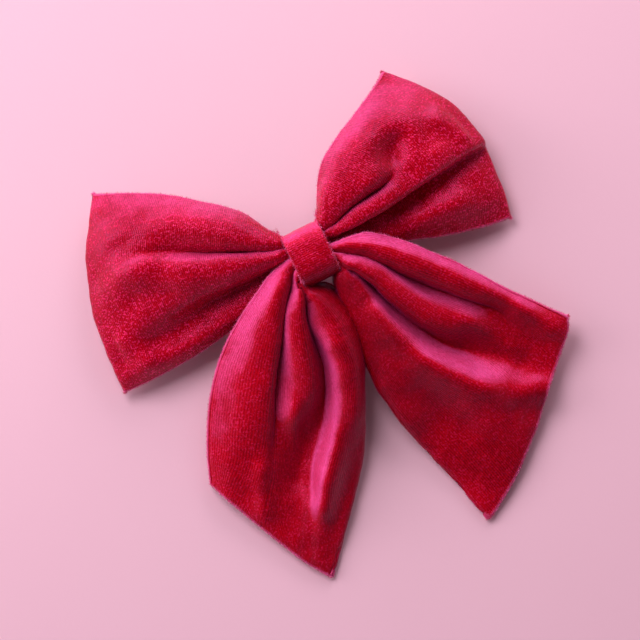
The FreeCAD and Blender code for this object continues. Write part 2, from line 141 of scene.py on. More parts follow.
RIGHT_LOOP = [
    [(7.6, 10.5, 20), (10, 14.2, 20.5), (12, 18.3, 20.5), (15, 23.7, 20), (20, 29.2, 19), (28, 34.2, 17),
     (38, 39.3, 14), (45, 43.2, 12), (52, 48, 8)],
    [(7.6, 9.3, 23), (11.5, 14, 25.5), (16, 19.5, 26), (22, 25, 25.5), (30, 30, 23.5), (40, 34.5, 20.5),
     (49, 38.5, 16), (57.6, 42, 9)],
    [(7.6, 8.2, 24), (12.5, 11.5, 26.5), (18, 15.5, 27.5), (25, 20, 27.5), (34, 25, 26), (43, 28.5, 23.5),
     (53, 31.5, 19.5), (63.7, 34.5, 10)],
    [(7.6, 7, 24), (13, 9.2, 26), (20, 12.2, 27.2), (27, 15, 27.2), (34, 18.3, 25.5), (41, 20.8, 22),
     (50, 24, 22.3), (59, 26.3, 18.5), (69, 26.5, 10.5)],
    [(7.6, 5.9, 23.5), (13, 7.6, 25), (20, 10.2, 26.2), (27, 11.8, 26.4), (34, 13.2, 25.3), (41, 16, 22.3),
     (50, 18.8, 22.6), (60, 20.3, 19), (71.3, 20.5, 11)],
    [(7.6, 5, 21), (13, 6.4, 20), (20, 8.9, 19.2), (27, 9.9, 19.5), (34, 10.7, 21), (41, 13.2, 23),
     (50, 15.4, 22.8), (60, 16.4, 19.5), (72.3, 15.5, 11)],
    [(7.6, 4.2, 24), (13, 5.1, 24.1), (20, 6.6, 25.1), (28, 7.4, 25.2), (36, 8.2, 24.6), (44, 10.1, 23.4),
     (52, 12, 22.8), (61, 13.2, 19.7), (73.1, 12, 11)],
    [(7.6, 3, 22.5), (13, 2.8, 24.7), (20, 2.8, 25.2), (30, 3.4, 24.7), (40, 4.7, 23.7), (50, 6.2, 22),
     (60, 7.9, 18.5), (67, 9.1, 16), (73.6, 9.4, 10)],
    [(7.6, 2.2, 20), (13, 2.6, 18), (20, 3.3, 16), (30, 4.4, 14), (40, 5.2, 12.8), (50, 6, 12),
     (60, 6.8, 11), (67, 7.7, 10), (73.4, 7.4, 7.5)],
    [(7.6, 1, 20), (13, 1, 18.5), (20, 0.6, 17), (30, 0, 15.5), (40, -0.8, 14.5), (50, -1.2, 14),
     (60, -1, 12.5), (67, -1, 10.8), (72.8, -1, 6.5)],
    [(7.6, -1.5, 19.5), (14, -2.6, 18), (22, -4.4, 16.5), (32, -6, 15.5), (43, -7.5, 14.6), (54, -8.8, 13),
     (64, -9.6, 10.5), (72.2, -10, 5.5)],
    [(7.6, -5, 17), (15, -7, 15), (25, -8.7, 13), (35, -10.8, 11.5), (45, -14.2, 9.5), (55, -16.8, 7.5),
     (63, -18.4, 5.5), (70.8, -19.4, 3.4)],
]
LEFT_TAIL = [
    [(-7.6, 1.6, 24), (-15, 0.2, 22.5), (-25, -4.6, 19.5), (-35, -10.6, 16), (-45, -18.2, 12.5),
     (-55, -29.7, 9), (-63, -43.2, 6), (-69.2, -58.4, 3.5)],
    [(-7.6, 0.3, 26), (-13, -3, 26.5), (-20, -9.5, 25.5), (-28, -17, 22.5), (-38, -28, 18), (-48, -42, 13),
     (-57, -56, 8.5), (-66.6, -65, 4.5)],
    [(-7.6, -1.5, 26), (-12, -5.6, 26), (-17.3, -12.5, 24.5), (-22, -19.5, 22.5), (-28, -28, 19.5),
     (-35.5, -39.5, 15.5), (-43, -52, 11), (-52, -64, 7), (-62.6, -74, 3.8)],
    [(-7.6, -2.8, 23.5), (-11.4, -6.4, 21.1), (-15.6, -10.6, 18.1), (-19.9, -16.8, 15.4),
     (-24.9, -24.3, 13.4), (-30.9, -33.3, 11.6), (-36, -43.5, 9.5), (-42, -55, 8.2), (-50, -68, 6),
     (-59.4, -81, 3.3)],
    [(-7.6, -4, 26.5), (-10.8, -9.1, 24.7), (-15.6, -14.6, 23.9), (-19.6, -22.1, 22.2),
     (-22.3, -31.1, 19.7), (-25.8, -41.1, 16.2), (-31, -50, 14), (-37, -60.5, 8.5), (-46, -75, 5.2),
     (-56, -88.5, 2.9)],
    [(-7.6, -5.3, 26), (-9.4, -11.8, 26.7), (-12.4, -18.3, 25.2), (-14.8, -26.3, 23), (-17.3, -35.3, 19.7),
     (-21.3, -44.3, 15.7), (-28, -53.5, 9.5), (-35, -65, 6), (-43, -79.5, 4.6), (-53, -94.6, 2.5)],
    [(-7.6, -6.3, 22), (-10.1, -12.3, 18.8), (-11.8, -19.3, 14.8), (-12.5, -27.8, 12.3),
     (-13.1, -36.8, 10.1), (-16.5, -45.8, 8), (-22.5, -55.8, 6.2), (-31, -67, 4.6), (-40, -83, 4.4),
     (-50.4, -99.6, 2.3)],
    [(-7.3, -7.5, 26.3), (-8.3, -14.5, 22.8), (-9.4, -21, 22), (-9.4, -28, 20.5), (-8.6, -35.5, 19),
     (-9.6, -43, 17), (-12.2, -50.5, 14.4), (-16, -57.5, 12), (-22.4, -65.5, 9.9), (-30, -74, 9.3),
     (-38.5, -88, 5.4), (-48, -103.2, 2)],
    [(-6.7, -9, 24.5), (-5.4, -15, 26.5), (-4.2, -22, 25.4), (-3.4, -30, 24), (-3.2, -38, 22),
     (-5.1, -47, 19.2), (-9.8, -57, 16), (-17, -68, 10.1), (-26, -80, 6.2), (-36, -93.5, 3.4),
     (-46, -106.3, 1.8)],
    [(-5.4, -9.9, 21), (-2.4, -13.4, 22.5), (0.2, -18.4, 21.5), (2.2, -24.5, 20), (2.7, -30.5, 18.5),
     (1.4, -38, 16.5), (-2.1, -46.4, 14), (-7.6, -58, 11.3), (-15, -72.3, 6.9), (-25, -85.3, 4.8),
     (-35, -96.8, 2), (-44.6, -108.2, 1.3)],
    [(-3.4, -9.4, 16.5), (1.2, -12.2, 13), (3.2, -17, 11.2), (3.6, -24.5, 10), (2.6, -31.5, 9.2),
     (0.8, -38, 8.4), (-3, -46.4, 7.2), (-8.8, -58, 5.6), (-16, -72.3, 3.7), (-25.8, -85, 2.1),
     (-35.6, -96.4, 1.3), (-44.8, -107.6, 1.1)],
]
RIGHT_TAIL = [
    [(7.6, -0.2, 24.5), (15, -0.5, 24), (20, -1.2, 23), (25, -4.2, 21.5), (30, -8.7, 20), (36, -15.1, 18.5),
     (45, -24.7, 16), (55, -38.1, 13), (65, -50.1, 10.5), (73.8, -60.4, 9)],
    [(7.6, -1.2, 26.5), (14, -3, 27), (20, -6, 26.5), (26, -11, 25), (33, -18, 23), (42, -28, 20),
     (51, -39, 16.5), (60, -50.5, 12.8), (71.6, -64.8, 8)],
    [(7.6, -2.2, 26), (12.5, -4.6, 26), (18.5, -9, 25), (23.5, -14.5, 23.5), (29, -20.7, 22),
     (36, -28.3, 19.5), (44, -36.8, 16.5), (52, -45, 12.8), (59, -55, 10), (67.2, -69.7, 7)],
    [(7.6, -3, 23.8), (11.9, -4.8, 21.1), (16.4, -8.1, 18.1), (21.1, -13.7, 15.4), (26, -20.7, 13.8),
     (32, -27.4, 12.6), (39.4, -34.7, 11.6), (46, -41.5, 9.8), (52, -48, 9), (56, -58, 8.4), (62, -75, 6)],
    [(7.6, -3.8, 26.5), (10.6, -6, 25.5), (15.1, -9.5, 25), (19.6, -14.7, 23.7), (23.6, -22, 21.8),
     (28.6, -31, 19), (34.1, -39.5, 16), (40.5, -46, 14.5), (46.5, -52.5, 10), (51.5, -62, 8.2),
     (57.4, -79.6, 5.3)],
    [(7.6, -4.8, 26), (9.4, -8.3, 27.6), (12.9, -12.8, 26.6), (16.4, -18.8, 24.6), (19.4, -26.3, 22.6),
     (23.4, -34.3, 19.6), (28.9, -42.8, 16.1), (37, -50.5, 10.5), (43.5, -58.5, 8), (48, -68, 8.2),
     (52.4, -84.8, 4.6)],
    [(7.6, -5.8, 22.5), (10.5, -9.2, 19.3), (13, -14.2, 15.8), (15.5, -20, 13.6), (17.3, -26.2, 12),
     (19.9, -33.2, 10.5), (24, -41.2, 9.2), (29.3, -50, 7.4), (36, -58.5, 7), (41.5, -69, 8.6),
     (47.4, -90.6, 4)],
    [(7.4, -6.8, 26), (8.8, -10, 24.9), (10.6, -15, 24.4), (11.8, -22, 23), (12.6, -29, 21.6),
     (14.4, -37, 19.4), (17, -45.5, 16.9), (22, -54.5, 16), (28, -63.5, 13.5), (34.5, -73, 11),
     (41, -96.5, 3.4)],
    [(7.2, -8, 24), (8, -12, 26.1), (8.6, -18, 24.9), (8.8, -26, 23.1), (8.8, -36, 20.6), (10.3, -47, 17.6),
     (13.8, -60, 14.1), (18.8, -72, 8.8), (23.5, -85, 6.2), (29.4, -106.3, 2.6)],
    [(6.6, -9, 21), (5.2, -11, 23.4), (4.2, -16, 21.9), (3.6, -24, 19.9), (2.6, -33, 17.4),
     (1.3, -42, 15.4), (1.3, -52, 12.9), (3.1, -66, 9.9), (6.6, -80, 4.2), (11.1, -95, 2.4),
     (16.1, -114.4, 1.3)],
    [(5.6, -9.6, 17.5), (3.8, -11.6, 15.5), (3.4, -16, 14), (4, -24, 12), (3.8, -33, 10), (2.6, -42, 8),
     (2.6, -52, 6.2), (4.3, -66, 4.2), (7.6, -80, 2.6), (12, -95, 1.5), (16.6, -113.6, 1.1)],
]

# Soft swells and hollows of the cloth: how high, how wide, and the line they follow, all in millimetres.
LEFT_LOOP_SWELLS = [
    (-1.5, 4.5, [(-52, 10), (-62, 14)]),
    (-1.4, 5.0, [(-46, -5), (-62, -8)]),
    (2.4, 5.5, [(-64, 25), (-52, 26)]),
    (1.4, 4.0, [(-74, 1), (-70, -8)]),
]
RIGHT_LOOP_SWELLS = [
    (2.0, 3.6, [(62, 24), (68, 15)]),
    (1.4, 3.6, [(29, 14), (36, 18)]),
    (-2.4, 3.6, [(41, 18), (45, 23)]),
    (2.0, 4.0, [(40, -5), (56, -6)]),
]
LEFT_TAIL_SWELLS = [
    (2.6, 4.0, [(-8, -34), (-12, -50), (-24, -68), (-36, -84)]),
    (-3.2, 5.5, [(-32, -56), (-41, -70)]),
    (-1.2, 4.0, [(-12, -66), (-24, -84)]),
    (1.6, 3.5, [(-50, -62), (-56, -76)]),
]
RIGHT_TAIL_SWELLS = [
    (3.0, 4.6, [(13, -30), (20, -50), (32, -66), (46, -78), (56, -81)]),
    (-1.8, 6.0, [(14, -62), (22, -80)]),
    (-1.8, 4.0, [(36, -54), (50, -68)]),
    (1.6, 3.5, [(58, -52), (66, -62)]),
]

# Where fibres come loose: the place, the way that they point, how wide the place is and how long they are.
FRAYED_PLACES = [
    ((-8.3, 11.4, 21.5), (-0.25, 0.9, 0.35), 2.6, 3.2),
    ((8.3, 11.2, 21.5), (0.3, 0.9, 0.35), 2.2, 2.8),
    ((-60.8, 54.0, 6.5), (-0.5, 0.85, 0.1), 1.2, 1.3),
    ((-81.8, -14.8, 3.9), (-0.9, -0.5, 0.1), 1.2, 1.4),
    ((51.8, 47.8, 8.0), (0.3, 0.95, 0.1), 1.2, 1.2),
    ((70.6, -19.2, 3.7), (0.6, -0.8, 0.1), 1.2, 1.3),
    ((73.4, -60.4, 8.8), (1.0, -0.1, 0.1), 1.2, 1.1),
]


# ---- node building ----
class Wire:
    """A node's output that takes part in arithmetic: each operator adds one Math node."""

    def __init__(self, nodes, socket):
        self.nodes, self.socket = nodes, socket

    def other(self, output):
        """Another output of the same node, by name or number."""
        return Wire(self.nodes, self.socket.node.outputs[output])

    def maths(self, operation, first, *others):
        return self.nodes.add("ShaderNodeMath", {"operation": operation}, dict(enumerate((first, *others))))

    def __add__(self, other):
        return self.maths("ADD", self, other)

    def __radd__(self, other):
        return self.maths("ADD", other, self)

    def __sub__(self, other):
        return self.maths("SUBTRACT", self, other)

    def __rsub__(self, other):
        return self.maths("SUBTRACT", other, self)

    def __mul__(self, other):
        return self.maths("MULTIPLY", self, other)

    def __rmul__(self, other):
        return self.maths("MULTIPLY", other, self)

    def __pow__(self, other):
        return self.maths("POWER", self, other)

    def absolute(self):
        return self.maths("ABSOLUTE", self)

    def wave(self):
        """A smooth wave from 0 to 1 of this many turns."""
        return self.maths("SINE", self * (2 * math.pi)) * 0.5 + 0.5

    def between(self, low, high):
        """0 at low, 1 at high, and held outside them."""
        limits = {"Value": self, "From Min": low, "From Max": high, "To Min": 0.0, "To Max": 1.0}
        return self.nodes.add("ShaderNodeMapRange", {"clamp": True}, limits)


class Nodes:
    """A node tree that is written as expressions."""

    def __init__(self, tree):
        self.tree = tree

    def add(self, kind, settings=None, sockets=None, output=0):
        """A node of one type: its settings, then a value or a Wire for each named or numbered socket."""
        node = self.tree.nodes.new(kind)
        for setting, value in (settings or {}).items():
            setattr(node, setting, value)
        for socket, value in (sockets or {}).items():
            self.feed(node.inputs[socket], value)
        return Wire(self, node.outputs[output]) if len(node.outputs) else node

    def feed(self, socket, value):
        if isinstance(value, Wire):
            self.tree.links.new(value.socket, socket)
        else:
            socket.default_value = value


class Finish(Nodes):
    """One material, whose shader's constants are given by name."""

    def __init__(self, name, **constants):
        self.material = bpy.data.materials.new(name)
        self.material.use_nodes = True
        super().__init__(self.material.node_tree)
        self.shader = self.tree.nodes["Principled BSDF"]
        for socket, value in constants.items():
            self.set(socket.replace("_", " "), value)
        self.place = self.add("ShaderNodeTexCoord", None, None, "Object")

    def set(self, socket, value):
        self.feed(self.shader.inputs[socket], value)

    def mix(self, share, first, second):
        """Two colours mixed by a share."""
        return self.add("ShaderNodeMix", {"data_type": "RGBA"}, {0: share, 6: first, 7: second}, 2)

    def stretch(self, place, scale):
        return self.add("ShaderNodeMapping", None, {"Vector": place, "Scale": scale})

    def noise(self, place, size, detail=2.0, roughness=0.5):
        """Noise whose blotches are about that many metres across."""
        sockets = {"Vector": place, "Scale": 0.5 / size, "Detail": detail, "Roughness": roughness}
        return self.add("ShaderNodeTexNoise", None, sockets)

    def bump(self, height, distance, strength=1.0, under=None):
        sockets = {"Height": height, "Distance": distance, "Strength": strength}
        if under is not None:
            sockets["Normal"] = under
        return self.add("ShaderNodeBump", None, sockets)


def paint(colour, light=1.0):
    return (colour[0] * light, colour[1] * light, colour[2] * light, 1.0)


# ---- finishes ----
def velvet(name, look, ribs_run_along, sparkle, rim_sheen_share, slope_highlight_from, slope_shade_share):
    """Ribbed velvet: knit ribs, painted glints, darker patches, a painted sheen along the rims, and a painted
    highlight where a slope faces the lights' side.
    """
    cloth = Finish(name, Sheen_Weight=look.sheen, Sheen_Roughness=look.sheen_spread)
    cloth.set("Sheen Tint", paint(look.sheen_colour))
    cloth.set("IOR", 1.9)
    cloth.set("Specular IOR Level", look.gloss)
    cloth.set("Specular Tint", paint(look.gloss_colour))
    laid = cloth.add("ShaderNodeUVMap", {"uv_map": "cloth"})
    along = cloth.add("ShaderNodeSeparateXYZ", None, {0: laid})
    across = along.other(1)
    rim = cloth.add("ShaderNodeAttribute", {"attribute_name": "edge"}, None, "Fac")

    counted = across if ribs_run_along else along
    sway = cloth.noise(laid, 0.004)
    ribs = (counted * (1 / look.rib_pitch) + sway * 0.9).wave()
    knit = cloth.stretch(laid, (0.6, 1.0, 1.0) if ribs_run_along else (1.0, 0.6, 1.0))
    pile = cloth.noise(knit, PILE_GRAIN, 2.0, 0.6)
    # Painted glints: points of a lighter colour that stand in for fibres catching the light.
    glint = cloth.noise(cloth.place, GLINT_GRAIN, 1.0, 0.4).between(0.53, 0.68)
    crushed = cloth.noise(cloth.place, CRUSHED_GRAIN, 3.0, 0.6)
    patches = cloth.noise(cloth.place, PATCH_GRAIN, 2.0, 0.55)
    # Painted light and shade: the attribute read here says how far a slope faces the lights' side; it shifts
    # the shade mix and lays a painted highlight on those slopes.
    slope_to_light = cloth.add("ShaderNodeAttribute", {"attribute_name": "slope_to_light"}, None, "Fac")
    shade = (patches * 0.55 + crushed * 0.35 + slope_to_light * slope_shade_share + 0.03).between(0.34, 0.66)
    slope_highlight = (slope_to_light + crushed * 0.3 - 0.15).between(slope_highlight_from, slope_highlight_from + SLOPE_HIGHLIGHT_FADE)
    slope_highlight = slope_highlight * (1 - slope_to_light.between(0.75, 1.0) * 0.7)
    fluff = (ribs * 0.3 + pile * 0.7).between(0.32, 0.68)

    colour = cloth.mix(shade, paint(look.deep), paint(look.colour))
    colour = cloth.mix(fluff * (0.35 + 0.25 * sparkle), colour, paint(look.bright))
    colour = cloth.mix((1 - fluff) * (0.15 + 0.3 * sparkle), colour, paint(look.deep))
    colour = cloth.mix(glint * (shade * 0.55 + 0.25) * sparkle, colour, paint(look.glint))
    # A painted highlight on slopes that face the lights' side.
    colour = cloth.mix(slope_highlight * (0.4 + 0.6 * fluff) * (1 - 0.3 * sparkle), colour, paint(look.slope_highlight))
    # A painted sheen: a lighter colour along the rims.
    rim_sheen = 1 - rim.between(0.0, RIM_SHEEN_WIDTH)
    cloth.set("Base Color", cloth.mix(rim_sheen * rim_sheen_share, colour, paint(look.rim)))
    cloth.set("Roughness", crushed * 0.12 + fluff * 0.08 + 0.22)

    seam_dip = (rim - SEAM_INSET * MM).absolute().between(0.0, SEAM_WIDTH * MM)
    fine = cloth.bump(pile * (0.5 + 0.5 * sparkle) + ribs * 0.4 + glint * sparkle * 0.6, 0.00014, 0.8)
    seamed = cloth.bump(seam_dip, 0.00025, 0.5, fine)
    cloth.set("Normal", cloth.bump(crushed, 0.0008, 0.3, seamed))
    return cloth.material


def velvet_fibre(look):
    """Loose velvet fibres, some lighter than others."""
    fibre = Finish("velvet_fibre", Roughness=0.5)
    fibre.set("Specular IOR Level", 0.6)
    strands = fibre.noise(fibre.place, 0.0006, 1.0)
    fibre.set("Base Color", fibre.mix(strands.between(0.35, 0.65), paint(look.colour), paint(look.rim)))
    fibre.set("Normal", fibre.bump(strands, 0.00005, 0.3))
    return fibre.material


def sewing_thread(look):
    """Twisted thread, a little darker in its grooves, as painted shade."""
    thread = Finish("crimson_thread", Sheen_Weight=0.4, Sheen_Roughness=0.4)
    thread.set("Sheen Tint", paint(look.sheen_colour))
    twist = thread.add("ShaderNodeTexWave", {"bands_direction": "DIAGONAL"},
                       {"Vector": thread.place, "Scale": 700.0, "Distortion": 1.2}, "Fac")
    thread.set("Base Color", thread.mix(twist, paint(look.deep), paint(look.colour)))
    thread.set("Roughness", twist * 0.2 + 0.5)
    thread.set("Normal", thread.bump(twist, 0.0001, 0.8))
    return thread.material


def steel(name, colour, roughness, drawn_out):
    """Plated steel: rolling lines along the strip, fine scratches and duller, handled patches."""
    metal = Finish(name, Metallic=1.0)
    drawn = metal.stretch(metal.place, drawn_out)
    lines = metal.noise(drawn, 0.00035, 3.0, 0.6)
    handled = metal.noise(metal.place, 0.004, 3.0, 0.6)
    scratches = metal.add("ShaderNodeTexVoronoi", {"feature": "DISTANCE_TO_EDGE"},
                          {"Vector": drawn, "Scale": 260.0}).between(0.0, 0.05)
    tone = metal.mix(handled, paint(colour, 0.78), paint(colour, 1.04))
    metal.set("Base Color", metal.mix(lines * 0.5, tone, paint(colour, 0.7)))
    metal.set("Roughness", lines * 0.14 + handled * 0.16 + roughness - scratches * 0.05)
    metal.set("Normal", metal.bump(lines + scratches * 0.5, 0.00004, 0.6))
    return metal.material


def painted_board(stage):
    """The matte pale board that the barrette lies on."""
    board = Finish("painted_board", Specular_IOR_Level=0.2)
    mottle = board.noise(board.place, 0.05, 4.0, 0.6)
    grain = board.noise(board.place, 0.0006, 3.0, 0.6)
    tone = (mottle * 0.7 + grain * 0.3).between(0.3, 0.7)
    board.set("Base Color", board.mix(tone, paint(stage.floor_colour, 0.985), paint(stage.floor_colour)))
    board.set("Roughness", grain * 0.1 + 0.62)
    board.set("Normal", board.bump(grain, 0.0001, 0.25))
    return board.material


# ---- cloth shapes, in millimetres ----
def curve_through(rows, shares):
    """Smooth curves through rows of points, sampled in each span at that span's shares of the way."""
    rows = np.concatenate([2 * rows[:1] - rows[1:2], rows, 2 * rows[-1:] - rows[-2:-1]])
    gaps = np.maximum(np.linalg.norm(np.diff(rows, axis=0), axis=-1, keepdims=True), 1e-9) ** 0.5
    knots = np.concatenate([np.zeros_like(gaps[:1]), np.cumsum(gaps, axis=0)])
    made = []
    for span, parts in enumerate(shares):
        a, b, c, d = rows[span:span + 4]
        ta, tb, tc, td = knots[span:span + 4]
        for part in parts:
            t = tb + (tc - tb) * part
            ab = a + (b - a) * (t - ta) / (tb - ta)
            bc = b + (c - b) * (t - tb) / (tc - tb)
            cd = c + (d - c) * (t - tc) / (td - tc)
            abc = ab + (bc - ab) * (t - ta) / (tc - ta)
            bcd = bc + (cd - bc) * (t - tb) / (td - tb)
            made.append(abc + (bcd - abc) * (t - tb) / (tc - tb))
    made.append(rows[-2])
    return np.array(made)


def run_of(grid, axis):
    """The distance along one direction of a grid of points, from its start."""
    steps = np.linalg.norm(np.diff(grid, axis=axis), axis=-1)
    start = np.zeros_like(np.take(steps, [0], axis=axis))
    return np.concatenate([start, np.cumsum(steps, axis=axis)], axis=axis)


def walk(strand, stations, turn):
    """Points along one strand. Stations run from 0 to 1 up to the turn, and to 2 after it."""
    samples = 24
    dense = curve_through(np.array(strand, float), [np.arange(samples) / samples] * (len(strand) - 1))
    length = run_of(dense, 0)
    marks = [0, length[turn * samples], length[-1]]
    wanted = np.interp(stations, [0, 1, 2], marks)
    return np.stack([np.interp(wanted, length, dense[:, k]) for k in range(3)], axis=-1)


def spread_rows(lines, per_span):
    """A grid of points, (across, along, xyz), over lines side by side, with more rows at both rims."""
    rim_shares = np.array([0, 0.02, 0.05, 0.09, 0.13, 0.165, 0.2])
    inner = np.arange(per_span) / per_span
    first = np.concatenate([rim_shares, inner[inner > 0.2]])
    last = np.concatenate([inner[inner < 0.8], 1 - rim_shares[:0:-1]])
    return curve_through(lines, [first] + [inner] * (len(lines) - 3) + [last])


def relax(grid, rounds):
    """Evens out a grid of points, with its outline held."""
    for _ in range(rounds):
        middle = (grid[:-2, 1:-1] + grid[2:, 1:-1] + grid[1:-1, :-2] + grid[1:-1, 2:]) / 4
        grid[1:-1, 1:-1] = (grid[1:-1, 1:-1] + middle) / 2
    return grid


def normals_of(grid):
    """Unit normals of a grid of points, on the side that faces up at its middle front."""
    normal = np.cross(np.gradient(grid, axis=1), np.gradient(grid, axis=0))
    normal /= np.maximum(np.linalg.norm(normal, axis=-1, keepdims=True), 1e-12)
    front = normal[:, :normal.shape[1] // 2, 2].sum()
    return normal if front > 0 else -normal


def swell(grid, swells, front):
    """Raises or sinks the front of the cloth softly along lines seen from above."""
    for height, width, line in swells:
        nearest = np.full(grid[:, :front, 0].shape, np.inf)
        for start, end in zip(np.array(line[:-1], float), np.array(line[1:], float)):
            run = end - start
            away = grid[:, :front, :2] - start
            share = np.clip((away @ run) / (run @ run), 0, 1)[..., None]
            nearest = np.minimum(nearest, np.linalg.norm(away - share * run, axis=-1))
        grid[:, :front, 2] += height * np.exp(-(nearest / width) ** 2)
    return grid


def ruffle(grid, seed, dents, pleats, both_ends):
    """The small unevenness of real cloth: soft dents all over, and fine pleats that fade from the knot."""
    large, small, small_share, smooth_start = 10.0, 4.2, 0.45, 8.0
    pleat_width, pleat_length, pleat_fade = 1.7, 26.0, 15.0
    along, across = run_of(grid, 1), run_of(grid, 0)
    far = along[:, -1:] - along
    reach = np.minimum(along, far) if both_ends else along
    lift = np.zeros(grid.shape[:2])
    for i, j in np.ndindex(*lift.shape):
        p = Vector(grid[i, j])
        dent = noise.noise(p / large + Vector((seed, 0, 0)))
        dent += small_share * noise.noise(p / small + Vector((0, seed, 0)))
        pleat = noise.noise(Vector((across[i, j] / pleat_width, reach[i, j] / pleat_length, seed * 3.1)))
        lift[i, j] = dents * dent * min(1.0, reach[i, j] / smooth_start)
        lift[i, j] += pleats * pleat * math.exp(-reach[i, j] / pleat_fade)
    return grid + normals_of(grid) * lift[..., None]


class Shell:
    """A closed cloth mesh that is built up from grids of points in the middle of the cloth."""

    def __init__(self):
        self.points, self.faces, self.marks, self.count = [], [], [], 0

    def add(self, grid, thickness, light_side, hemmed_end, seam=0.0):
        """One sheet of cloth with round rims, marked with how far it slopes towards the lights' side, for
        painted highlights and shade.
        An end that isn't hemmed is closed inside the knot.
        A seam is a groove of that depth, SEAM_INSET inside the rims."""
        along, across = run_of(grid, 1), run_of(grid, 0)
        edge = np.minimum(across, across[-1:] - across)
        if hemmed_end:
            edge = np.minimum(edge, along[:, -1:] - along)
        radius = thickness / 2
        grid[..., 2] = np.maximum(grid[..., 2], radius + FLOOR_GAP)
        half = radius * np.sqrt(np.maximum(0, 1 - (1 - np.minimum(edge / radius, 1)) ** 2))
        half -= seam * np.exp(-((edge - SEAM_INSET) / SEAM_WIDTH) ** 2)
        half[:, [0, -1]] = 0
        wide, long = half.shape
        top = np.arange(wide * long).reshape(wide, long)
        under = top.copy()
        under[1:-1, 1:-1] = wide * long + np.arange((wide - 2) * (long - 2)).reshape(wide - 2, long - 2)
        normals = normals_of(grid)
        offset = normals * half[..., None]
        # How far each point slopes towards the lights' side, for the painted highlight and painted shade.
        slope_to_light = normals[..., :2] @ np.array(light_side, float)
        widest = across[-1].argmax()
        laid = np.broadcast_arrays(along.mean(0)[None, :], across[:, widest][:, None], edge, slope_to_light)
        mark = np.stack(laid, axis=-1)
        self.points += [(grid + offset).reshape(-1, 3), (grid - offset)[1:-1, 1:-1].reshape(-1, 3)]
        self.marks += [mark.reshape(-1, 4), mark[1:-1, 1:-1].reshape(-1, 4)]
        for layer, turned in ((top, 1), (under, -1)):
            quads = np.stack([layer[:-1, :-1], layer[:-1, 1:], layer[1:, 1:], layer[1:, :-1]], axis=-1)
            self.faces.append(quads.reshape(-1, 4)[:, ::turned] + self.count)
        self.count += wide * long + (wide - 2) * (long - 2)
        return across[-1].max() * MM, along.mean(0)[-1] * MM

    def build(self, piece_name):
        points, faces, marks = (np.concatenate(x) for x in (self.points, self.faces, self.marks))
        mesh = bpy.data.meshes.new(piece_name)
        mesh.from_pydata((points * MM).tolist(), [], faces.tolist())
        corners = np.zeros(len(mesh.loops), int)
        mesh.loops.foreach_get("vertex_index", corners)
        laid = mesh.uv_layers.new(name="cloth")
        laid.data.foreach_set("uv", (marks[corners, :2] * MM).astype(np.float32).ravel())
        for column, name, scale in ((2, "edge", MM), (3, "slope_to_light", 1.0)):
            mark = mesh.attributes.new(name, "FLOAT", "POINT")
            mark.data.foreach_set("value", (marks[:, column] * scale).astype(np.float32))
        return add_piece(piece_name, tidy_mesh(mesh))


def tidy_mesh(mesh):
    """Welds a closed mesh, points its faces outwards and smooths its shading."""
    work = bmesh.new()
    work.from_mesh(mesh)
    bmesh.ops.remove_doubles(work, verts=work.verts, dist=1e-7)
    bmesh.ops.recalc_face_normals(work, faces=work.faces)
    work.to_mesh(mesh)
    work.free()
    mesh.shade_smooth()
    return mesh


def add_piece(name, mesh, *materials):
    piece = bpy.data.objects.new(name, mesh)
    bpy.context.scene.collection.objects.link(piece)
    for material in materials:
        mesh.materials.append(material)
    return piece


def plate_top(x):
    """The height of the clip's base plate at a place along it, in millimetres."""
    places, heights = [0, 13, 20, 25, 30], [14.8, 13.6, 11.9, 10.2, 9.3]
    return float(np.interp(abs(x), places, heights))


def into_knot(strand, low, high):
    """A strand with its start carried on under the knot, between two heights."""
    lowest_start, spread_of_starts = 17, 9
    x, y, z = strand[0]
    side = math.copysign(1, x)
    level = low + (high - low) * min(max((z - lowest_start) / spread_of_starts, 0), 1)
    inside = (side * 3.2, y * 0.68, level)
    mouth = (side * 5.6, y * 0.82, level * 0.55 + z * 0.45)
    starts_outside_the_band = abs(x) > 7
    return [inside, mouth] + list(strand) if starts_outside_the_band else [inside] + list(strand)


def fold_back(strand, cloth_gap, clearance):
    """A loop's strand, carried round its outer fold and back under itself to the knot."""
    back_start, back_level, plate_reach, plate_side = 5, 15.8, 45, 6.5
    front = into_knot(strand, *LOOP_GATHER)
    x_end, _, z_end = front[-1]
    back = []
    for x, y, z in front[-2::-1]:
        inward = (abs(x_end) - abs(x)) / (abs(x_end) - back_start)
        level = (z_end - cloth_gap) * (1 - inward) + back_level * inward
        level = min(level, z - cloth_gap)
        if abs(y) < plate_side and abs(x) < plate_reach:
            level = max(level, plate_top(x) + clearance)
        back.append((x, y, max(level, clearance)))
    return front + back, len(front) - 1


# ---- small parts ----
class Growth(Nodes):
    """A geometry tree that turns a piece into what grows or sits on it."""

    def __init__(self, name, sizes):
        super().__init__(bpy.data.node_groups.new(name, "GeometryNodeTree"))
        panel = self.tree.interface
        panel.new_socket("Geometry", in_out="INPUT", socket_type="NodeSocketGeometry")
        panel.new_socket("Geometry", in_out="OUTPUT", socket_type="NodeSocketGeometry")
        for size, (kind, value) in sizes.items():
            panel.new_socket(size, in_out="INPUT", socket_type=kind).default_value = value
        self.given = self.add("NodeGroupInput")

    def finish(self, instances, material):
        real = self.add("GeometryNodeRealizeInstances", None, {0: instances})
        painted = self.add("GeometryNodeSetMaterial", None, {"Geometry": real, "Material": material})
        self.add("NodeGroupOutput", None, {0: painted})
        return self.tree


